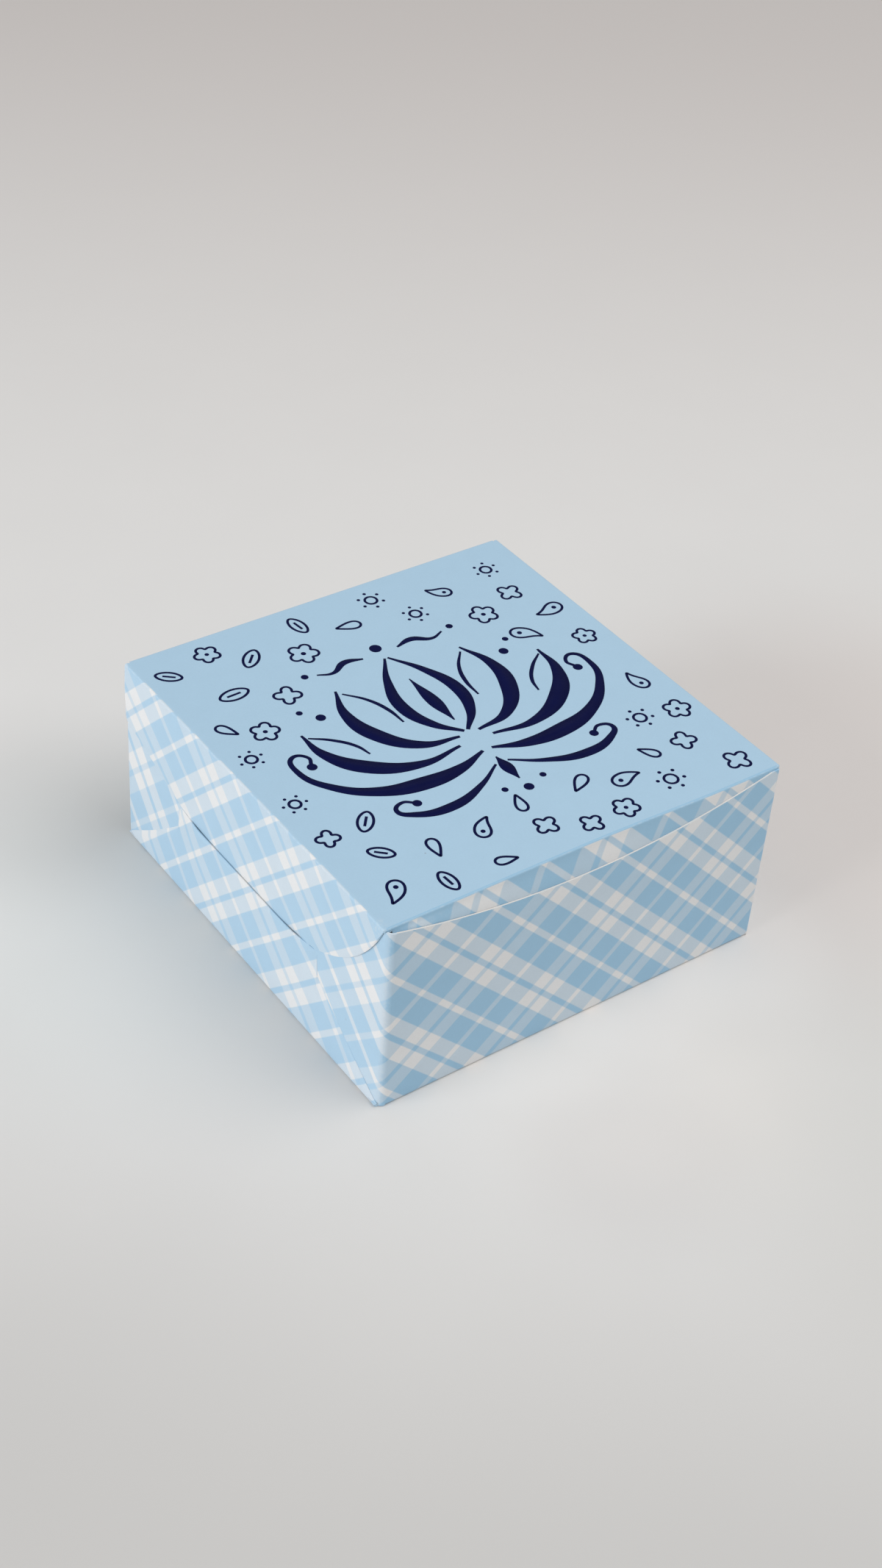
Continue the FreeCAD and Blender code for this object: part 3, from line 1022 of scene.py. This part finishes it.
# Points of the lotus that the small figures keep clear of
def lotusPoints():
    points = []
    for stroke in lotus["strokes"] + lotus["middle"]:
        for (x0, y0, w0), (x1, y1, w1) in zip(stroke, stroke[1:]):
            xs, ys = spread(x0, x1, lotus["samples"]), spread(y0, y1, lotus["samples"])
            points += [(x, y, max(w0, w1) / 2) for x, y in zip(xs, ys)]
    points += lotus["dots"] + lotus["middleDots"]
    return points + [(-x, y, r) for x, y, r in points]


def evenNumber(index, base):
    value, step = 0.0, 1.0
    while index:
        step /= base
        value += step * (index % base)
        index //= base
    return value


def roomBy(x, y, discs):
    return min((math.hypot(x - px, y - py) - r for px, py, r in discs), default=math.inf)


# Looks for the place with most room for a figure
def bestPlace(number, size, taken, placed):
    reach, best = scatter["edge"] - size, None
    for attempt in range(1, scatter["tries"]):
        index = number * scatter["tries"] + attempt
        x, y = ((2 * evenNumber(index, base) - 1) * reach for base in scatter["placeBases"])
        room = min(roomBy(x, y, taken) - scatter["clear"], roomBy(x, y, placed) - scatter["apart"]) - size
        if best is None or room > best[0]:
            best = (room, x, y)
    return best


def addScatter(strokes):
    taken = lotusPoints()
    placed, dots = [], []
    while len(placed) < scatter["most"]:
        number = len(placed) + 1
        figure = figures[number % len(figures)]
        growth = scatter["smallest"] + scatter["sizeSpread"] * evenNumber(number, scatter["sizeBase"])
        size = figure["size"] * growth
        room, x, y = bestPlace(number, size, taken, placed)
        if room < 0:
            break
        placed.append((x, y, size))
        middle = Vector((x, y))
        turn = Matrix.Rotation(2 * math.pi * evenNumber(number, scatter["turnBase"]), 2)
        place = rosettePlace if "petals" in figure else dropPlace
        lines = [(ringPoints(figure["points"], lambda t: place(figure, t)), True)]
        lines += [(figure["vein"], False)] if "vein" in figure else []
        for points, closed in lines:
            line = evenLine([middle + turn @ Vector(p) * size for p in points], closed)
            addStroke(strokes, "POLY", [(p.x, p.y, scatter["line"]) for p in line], closed)
        for px, py, r in figure.get("dots", []):
            spot = middle + turn @ Vector((px, py)) * size
            dots.append((spot.x, spot.y, r * size))
    print("figures on the lid", len(placed))
    return dots


def makeLidInk():
    clearSelection()
    bpy.ops.curve.primitive_bezier_curve_add()
    brush = bpy.context.object
    brush.data.splines.clear()
    brush.data.dimensions = "3D"
    brush.data.twist_mode = "Z_UP"
    brush.data.extrude = film["halfLine"] * mm
    brush.data.resolution_u = film["curveSteps"]
    for side in (-1, 1):
        for points in lotus["strokes"]:
            addStroke(brush, "BEZIER", [(side * x, y, width) for x, y, width in points])
    for points in lotus["middle"]:
        addStroke(brush, "BEZIER", points)
    dots = addScatter(brush)
    bpy.ops.object.convert(target="MESH")
    ink = bpy.context.object
    dots += [(side * x, y, r) for x, y, r in lotus["dots"] for side in (-1, 1)] + lotus["middleDots"]
    discs = []
    for x, y, r in dots:
        bpy.ops.mesh.primitive_circle_add(
            vertices=film["dotCorners"], radius=r * mm, fill_type="NGON",
            location=(x * mm, y * mm, -film["dotDrop"] * mm),
        )
        discs.append(bpy.context.object)
    selectOnly(ink, *discs)
    bpy.ops.object.join()
    bpy.ops.object.transform_apply()
    ink.name = ink.data.name = "lid_ink"
    mesh = bmesh.new()
    mesh.from_mesh(ink.data)
    bmesh.ops.remove_doubles(mesh, verts=mesh.verts, dist=film["weld"] * mm)
    for v in mesh.verts:
        v.co.z = (box["inkTop"] - (film["dotDrop"] if v.co.z < -film["dotDrop"] / 2 * mm else 0)) * mm
    mesh.to_mesh(ink.data)
    mesh.free()
    ink.data.materials.clear()
    ink.data.materials.append(inkFinish)
    editSheet(ink)
    pullEdge((0, 0, -film["thickness"]))
    bpy.ops.mesh.select_all(action="SELECT")
    bpy.ops.mesh.normals_make_consistent(inside=False)
    bpy.ops.object.mode_set(mode="OBJECT")
    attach(ink, "lid")


makeLidInk()

print("glue")

# Spans across, along and up, for the pad at the back on the right
glue = {"across": (52.7, 52.84), "along": (27.0, 38.0), "up": (3.2, 9.0), "round": 0.05, "steps": 2}


def makeGlue(side, end):
    clearSelection()
    spans = [glue["across"], glue["along"], glue["up"]]
    middle = [sign * (low + high) / 2 * mm for sign, (low, high) in zip((side, end, 1), spans)]
    bpy.ops.mesh.primitive_cube_add(size=1, location=middle)
    pad = bpy.context.object
    pad.scale = [(high - low) * mm for low, high in spans]
    bpy.ops.object.transform_apply()
    name = f"{'front' if end < 0 else 'back'}_{'left' if side < 0 else 'right'}"
    pad.name = pad.data.name = f"{name}_glue"
    editSheet(pad)
    bpy.ops.mesh.bevel(offset=glue["round"] * mm, segments=glue["steps"])
    bpy.ops.object.mode_set(mode="OBJECT")
    pad.data.materials.append(glueFinish)
    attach(pad, "carton")
    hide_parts(f"{name}_glue_pad")


for side in (-1, 1):
    for end in (-1, 1):
        makeGlue(side, end)

print("floor, light and camera")

# The stage, the lights and the camera are in metres; along the view the floor fades into each end's darker
# tone, painted shade for the light's falloff, and each painted pool of light or shade is a place, a reach and
# a tint
stage = {
    "floorHalf": 6.0, "floorHeight": -0.00003, "floorTone": (0.765, 0.758, 0.748, 1),
    "viewAlong": (0.62, 0.785, 0.0),
    "ends": [
        (0.08, 0.62, (0.665, 0.630, 0.612, 1)),
        (-0.06, -0.20, (0.600, 0.592, 0.580, 1)),
    ],
    "paintedLightPools": [
        ((-0.075, 0.03, 0), 0.085, (0.975, 1.0, 1.005, 1)),
        ((-0.066, 0.074, 0), 0.05, (0.92, 0.92, 0.92, 1)),
        ((0.12, -0.03, 0), 0.11, (0.975, 0.93, 0.915, 1)),
        ((0.0, -0.07, 0), 0.06, (1.055, 1.03, 1.01, 1)),
        ((-0.012, -0.056, 0), 0.026, (1.045, 1.045, 1.045, 1)),
        ((0.016, -0.056, 0), 0.026, (1.05, 1.045, 1.045, 1)),
        ((0.047, -0.058, 0), 0.03, (1.055, 1.055, 1.055, 1)),
        ((-0.015, -0.094, 0), 0.035, (0.95, 0.95, 0.955, 1)),
        ((-0.13, -0.03, 0), 0.10, (0.95, 0.95, 0.95, 1)),
        ((0.06, -0.135, 0), 0.09, (0.92, 0.92, 0.91, 1)),
    ],
    "paintedPoolCore": 0.3, "mottle": 0.015, "mottleNoise": (30.0, 3.0, 0.5), "roughness": 0.9,
    "specular": 0.1, "worldTone": (0.48, 0.48, 0.48, 1), "backTone": (0.70, 0.695, 0.69, 1),
}


def makeFloor():
    clearSelection()
    bpy.ops.mesh.primitive_plane_add(size=2 * stage["floorHalf"], location=(0, 0, stage["floorHeight"]))
    floor = bpy.context.object
    floor.name = "stage_floor"
    finish, tree, shader, place = newFinish("stage_paper")
    run = vectorStep(tree, "DOT_PRODUCT", place, stage["viewAlong"])
    cloud = noiseStep(tree, place, *stage["mottleNoise"])
    shades = [1 - stage["mottle"], 1 + stage["mottle"]]
    tones = [tuple(c * shade for c in stage["floorTone"][:3]) + (1,) for shade in shades]
    colour = mixColours(tree, cloud, *tones)
    # Painted shade: the floor darkens towards the far and the near end of the view, standing in for the
    # light's falloff
    for first, last, tone in stage["ends"]:
        colour = mixColours(tree, rampStep(tree, run, first, last), colour, tone)
    # Painted pools of light and shade on the floor: darker shadowed pools beside the box and towards the
    # corners of the view, a faintly bluish pool on its left and brighter, warmer pools in front of it
    for middle, reach, tint in stage["paintedLightPools"]:
        gap = vectorStep(tree, "DISTANCE", place, middle)
        share = rampStep(tree, gap, reach * stage["paintedPoolCore"], reach, 1.0, 0.0)
        colour = mixColours(tree, share, colour, tint, "MULTIPLY")
    shine = {"Roughness": stage["roughness"], "Specular IOR Level": stage["specular"]}
    feedAll(tree, shader, {"Base Color": colour, **shine})
    floor.data.materials.append(finish)


lightAim = (0, 0, 0.03)


def addSoftLight(name, place, size, power, tint):
    light = bpy.data.lights.new(name, "AREA")
    light.shape = "DISK"
    light.size = size
    light.energy = power
    light.color = tint
    lamp = bpy.data.objects.new(name, light)
    bpy.context.collection.objects.link(lamp)
    lamp.location = place
    lamp.rotation_euler = (Vector(lightAim) - Vector(place)).to_track_quat("-Z", "Y").to_euler()


# Place, size, power and tint of each light
lights = {
    "left_window": ((-1.35, 0.10, 0.45), 1.0, 10.6, (0.975, 0.985, 1.0)),
    "top_panel": ((0.46, -0.40, 1.25), 1.1, 7.6, (1.0, 0.985, 0.965)),
    "front_fill": ((0.35, -1.5, 0.55), 1.2, 0.8, (1.0, 0.95, 0.90)),
}


def makeWorld():
    world = bpy.data.worlds.new("studio")
    bpy.context.scene.world = world
    world.use_nodes = True
    tree = world.node_tree
    back = next(n for n in tree.nodes if n.type == "BACKGROUND")
    seen = addNode(tree, "LightPath")["Is Camera Ray"]
    tone = mixColours(tree, seen, stage["worldTone"], stage["backTone"])
    feedAll(tree, back, {"Color": tone, "Strength": 1.0})


view = {
    "lens": 51.162, "sensor": 36.0, "place": (-0.250336, -0.316569, 0.352363),
    "right": (0.813879, -0.577503, 0.063972), "up": (0.321122, 0.538831, 0.778808),
    "forward": (0.484234, 0.613312, -0.623992), "nearest": 0.01, "farthest": 50.0,
}


def makeCamera():
    camera = bpy.data.objects.new("camera", bpy.data.cameras.new("camera"))
    bpy.context.collection.objects.link(camera)
    camera.data.lens = view["lens"]
    camera.data.sensor_width = view["sensor"]
    camera.data.clip_start = view["nearest"]
    camera.data.clip_end = view["farthest"]
    axes = Matrix((view["right"], view["up"], [-c for c in view["forward"]])).transposed()
    camera.matrix_world = Matrix.Translation(view["place"]) @ axes.to_4x4()
    bpy.context.scene.camera = camera


makeFloor()
for name, (place, size, power, tint) in lights.items():
    addSoftLight(name, place, size, power, tint)
makeWorld()
makeCamera()
bpy.context.scene.view_settings.view_transform = "Standard"
